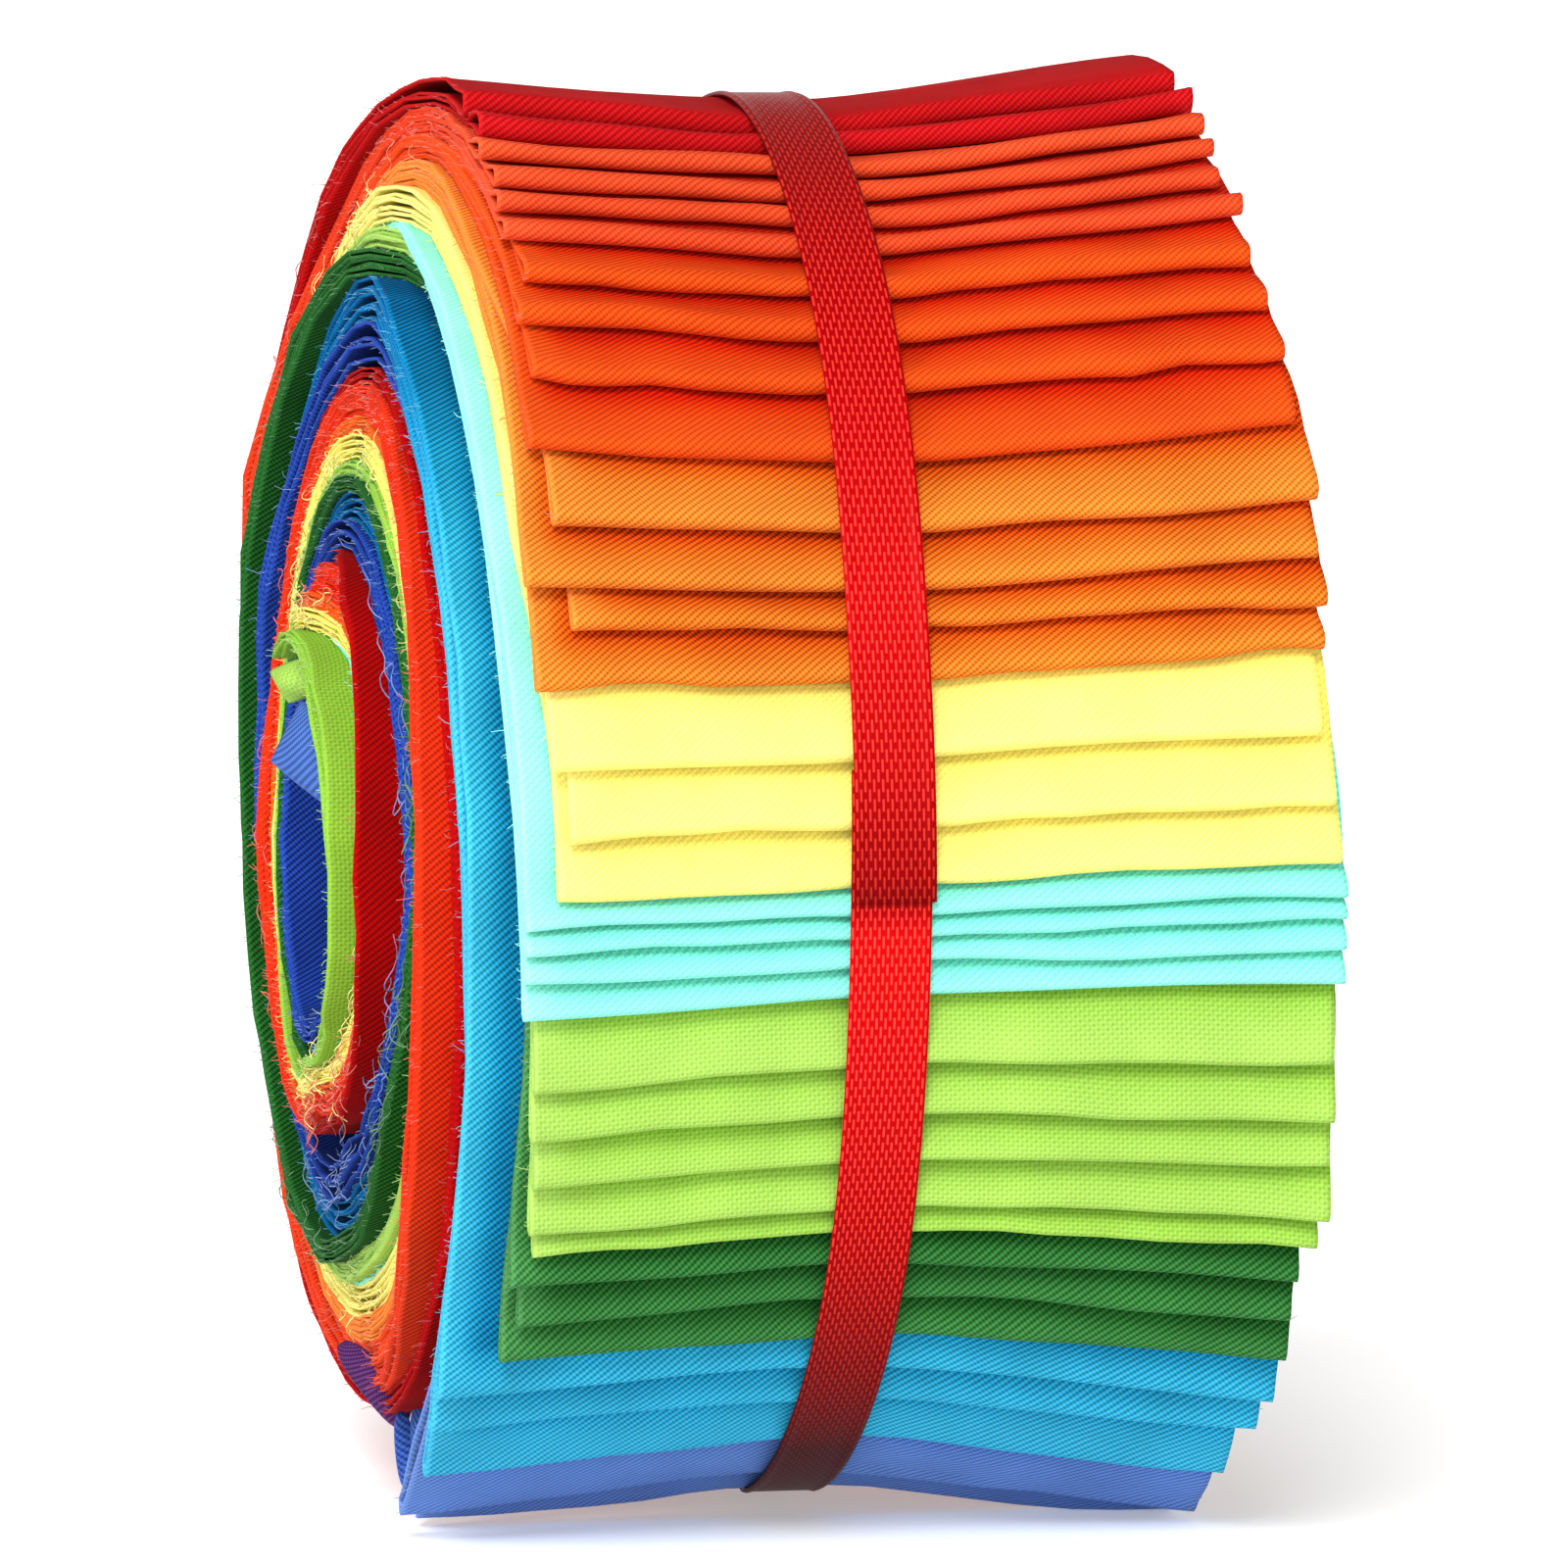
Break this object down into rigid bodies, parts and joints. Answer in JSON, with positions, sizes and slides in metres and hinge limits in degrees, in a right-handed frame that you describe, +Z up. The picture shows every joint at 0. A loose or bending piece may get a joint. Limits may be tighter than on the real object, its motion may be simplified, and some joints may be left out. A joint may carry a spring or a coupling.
{
  "type": "jelly roll fabric strips",
  "caption": "Cotton patchwork strips folded in half, fanned in rainbow order, rolled up and tied round the middle with a red satin ribbon.",
  "frame": {"origin": "the middle of the roll's footprint, on the surface that it stands on", "axes": "+Z up, X along the roll's axis with the ribbon and strip ends towards the sides, the fanned folds face -Y, the middle of the roll stands out towards -X"},
  "size_m": [0.074, 0.1239, 0.1209],
  "materials": {
    "dark_red": "twill weave cotton, matte",
    "orange_red": "twill weave cotton, matte",
    "deep_orange": "twill weave cotton, matte",
    "orange": "twill weave cotton, matte",
    "yellow": "twill weave cotton, matte",
    "aqua": "twill weave cotton, matte",
    "lime": "plain weave cotton, matte",
    "dark_green": "twill weave cotton, matte",
    "cerulean": "twill weave cotton, matte",
    "periwinkle": "twill weave cotton, matte",
    "ribbon_red": "satin weave, glossy"
  },
  "bodies": {
    "root": {"wound_roll": "dark_red", "strip_01_dark_red": "dark_red", "strip_02_dark_red": "dark_red", "strip_03_orange_red": "orange_red", "strip_04_orange_red": "orange_red", "strip_05_orange_red": "orange_red", "strip_06_orange_red": "orange_red", "strip_07_deep_orange": "deep_orange", "strip_08_deep_orange": "deep_orange", "strip_09_deep_orange": "deep_orange", "strip_10_deep_orange": "deep_orange", "strip_11_orange": "orange", "strip_12_orange": "orange", "strip_13_orange": "orange", "strip_14_orange": "orange", "strip_15_yellow": "yellow", "strip_16_yellow": "yellow", "strip_17_yellow": "yellow", "strip_18_aqua": "aqua", "strip_19_aqua": "aqua", "strip_20_aqua": "aqua", "strip_21_aqua": "aqua", "strip_22_lime": "lime", "strip_23_lime": "lime", "strip_24_lime": "lime", "strip_25_lime": "lime", "strip_26_lime": "lime", "strip_27_dark_green": "dark_green", "strip_28_dark_green": "dark_green", "strip_29_dark_green": "dark_green", "strip_30_cerulean": "cerulean", "strip_31_cerulean": "cerulean", "strip_32_cerulean": "cerulean", "strip_33_periwinkle": "periwinkle", "strip_34_periwinkle": "periwinkle", "ribbon_tie": "ribbon_red"}
  },
  "joints": []
}
